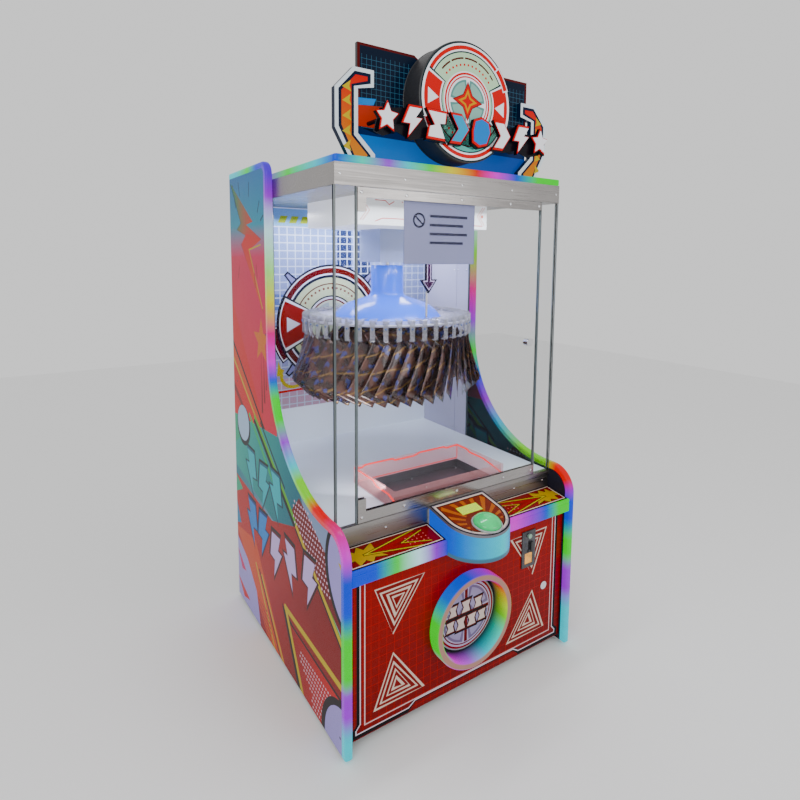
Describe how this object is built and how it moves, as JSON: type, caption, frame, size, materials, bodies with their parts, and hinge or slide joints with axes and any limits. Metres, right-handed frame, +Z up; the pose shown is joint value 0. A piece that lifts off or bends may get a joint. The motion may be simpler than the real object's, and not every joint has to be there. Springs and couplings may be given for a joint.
{
  "type": "prize drop carousel machine",
  "caption": "Arcade prize machine: one-button console, turning ring of clipped prizes behind glass, pointer with plunger, hopper and round outlet flap.",
  "frame": {"origin": "on the ground below the middle of the machine's outer box", "axes": "+X to the right seen from the front, +Y from the front to the rear, +Z up"},
  "size_m": [0.9, 1.043, 2.008],
  "materials": {
    "side_art": "gloss printed film on board",
    "led_diffuser": "lit satin diffuser",
    "base_wood": "matt",
    "steel_feet": "zinc plated",
    "black_board": "matt black",
    "lock_metal": "polished",
    "black_plastic": "satin black",
    "brushed_header": "brushed",
    "light_panel": "lit white with red lines",
    "marquee_print": "gloss print",
    "target_print": "gloss print",
    "bracket_print": "gloss print",
    "badge_print": "gloss print",
    "clear_glass": "clear",
    "polished_rail": "satin",
    "white_board": "satin white",
    "wall_print": "gloss print",
    "tray_steel": "satin",
    "frosted_acrylic": "frosted, red lit edge",
    "deck_print": "gloss print",
    "console_glow": "lit",
    "console_print": "gloss print",
    "display": "lit display",
    "bezel_plastic": "gloss",
    "button_green": "lit gloss",
    "door_print": "gloss print",
    "ring_glow": "lit",
    "flap_print": "gloss print",
    "coin_metal": "satin",
    "coin_button": "gloss",
    "coin_amber": "lit amber",
    "housing_acrylic": "frosted",
    "motor_grey": "cast",
    "dome_blue": "gloss",
    "shaft_steel": "turned",
    "ring_white": "gloss",
    "clip_clear": "clear gloss",
    "packet_foil": "printed foil",
    "pointer_print": "gloss print",
    "supply_metal": "perforated sheet",
    "board_green": "circuit board"
  },
  "bodies": {
    "cabinet": {"apron": "brushed_header", "back_wall": "wall_print", "base_board": "base_wood", "button_bezel": "bezel_plastic", "button_switch": "black_plastic", "cash_box": "tray_steel", "console_skirt": "console_glow", "console_top": "console_print", "console_window": "display", "corner_glass": "clear_glass", "deck_leds": "led_diffuser", "deck_panels": "deck_print", "door_hinges": "steel_feet", "gear_motor": "motor_grey", "header_led": "led_diffuser", "header_shell": "brushed_header", "hopper_fence": "frosted_acrylic", "hopper_tray": "tray_steel", "levelling_feet": "steel_feet", "light_box": "light_panel", "main_board": "board_green", "marquee_badges": "badge_print", "marquee_brackets": "bracket_print", "marquee_disc": "target_print", "marquee_plate": "marquee_print", "play_floor": "white_board", "plunger_coil": "black_plastic", "pointer": "pointer_print", "power_inlet": "black_plastic", "power_supply": "supply_metal", "prize_chute": "tray_steel", "rear_panel": "black_board", "side_glass": "clear_glass", "side_leds": "led_diffuser", "side_panel_left": "side_art", "side_panel_right": "side_art", "speaker": "black_plastic", "spindle_housing": "housing_acrylic"},
    "front_door": {"front_door": "door_print", "outlet_ring": "ring_glow", "coin_plate": "coin_metal", "coin_mech": "coin_metal"},
    "front_lock": {"front_lock": "lock_metal"},
    "reject_button": {"reject_button": "coin_button"},
    "return_flap": {"return_flap": "coin_amber"},
    "outlet_flap": {"outlet_flap": "flap_print"},
    "glass_door": {"glass_door": "clear_glass", "door_rails": "polished_rail"},
    "glass_lock": {"glass_lock": "lock_metal"},
    "rear_door": {"rear_door": "black_board"},
    "rear_lock": {"rear_lock": "lock_metal"},
    "power_rocker": {"power_rocker": "black_plastic"},
    "button": {"button_dome": "button_green"},
    "carousel": {"carousel_cover": "dome_blue", "carousel_shaft": "shaft_steel", "clip_ring": "ring_white", "prize_clips": "clip_clear", "prize_packets": "packet_foil"},
    "front_jaw": {"front_jaw": "clip_clear"},
    "plunger": {"plunger": "shaft_steel"}
  },
  "joints": [
    {"name": "front_door_hinge", "type": "hinge", "parent": "cabinet", "child": "front_door", "pos_m": [-0.4219, -0.3971, 0.265], "axis": [0, 0, -1], "range_deg": [0, 100]},
    {"name": "front_lock_turn", "type": "hinge", "parent": "front_door", "child": "front_lock", "pos_m": [0.338, -0.393, 0.247], "axis": [0, -1, 0], "range_deg": [0, 90]},
    {"name": "reject_press", "type": "slide", "parent": "front_door", "child": "reject_button", "axis": [0, 1, 0], "range_m": [0, 0.003], "stiffness_N_per_m": 300, "springref_m": -0.001},
    {"name": "return_flap_hinge", "type": "hinge", "parent": "front_door", "child": "return_flap", "pos_m": [0.2575, -0.395, 0.3893], "axis": [1, 0, 0], "range_deg": [0, 35]},
    {"name": "outlet_flap_hinge", "type": "hinge", "parent": "front_door", "child": "outlet_flap", "pos_m": [0, -0.3785, 0.378], "axis": [1, 0, 0], "range_deg": [0, 55]},
    {"name": "glass_door_hinge", "type": "hinge", "parent": "cabinet", "child": "glass_door", "pos_m": [-0.342, -0.3175, 1.098], "axis": [0, 0, -1], "range_deg": [0, 110]},
    {"name": "glass_lock_turn", "type": "hinge", "parent": "glass_door", "child": "glass_lock", "pos_m": [0.31, -0.3205, 1.097], "axis": [0, -1, 0], "range_deg": [0, 90]},
    {"name": "rear_door_hinge", "type": "hinge", "parent": "cabinet", "child": "rear_door", "pos_m": [-0.362, 0.5168, 0.316], "axis": [0, 0, 1], "range_deg": [0, 100]},
    {"name": "rear_lock_turn", "type": "hinge", "parent": "rear_door", "child": "rear_lock", "pos_m": [0.33, 0.5125, 0.316], "axis": [0, 1, 0], "range_deg": [0, 90]},
    {"name": "rocker_tilt", "type": "hinge", "parent": "cabinet", "child": "power_rocker", "pos_m": [-0.399, 0.5075, 0.145], "axis": [1, 0, 0], "range_deg": [-8, 8]},
    {"name": "button_press", "type": "slide", "parent": "cabinet", "child": "button", "axis": [0, 0.1704, -0.9854], "range_m": [0, 0.004], "stiffness_N_per_m": 900, "springref_m": -0.003},
    {"name": "carousel_spin", "type": "hinge", "parent": "cabinet", "child": "carousel", "pos_m": [0, 0.1075, 1.167], "axis": [0, 0, 1], "continuous": true},
    {"name": "plunger_drop", "type": "slide", "parent": "cabinet", "child": "plunger", "axis": [0, 0, -1], "range_m": [0, 0.009], "stiffness_N_per_m": 200, "springref_m": -0.004},
    {"name": "front_jaw_open", "type": "hinge", "parent": "carousel", "child": "front_jaw", "pos_m": [0, -0.1895, 1.18], "axis": [-1, 0, 0], "range_deg": [0, 12.2]}
  ],
  "couplings": [
    {"joint": "front_jaw_open", "follows": "plunger_drop", "rad_per_m": 23.271}
  ]
}
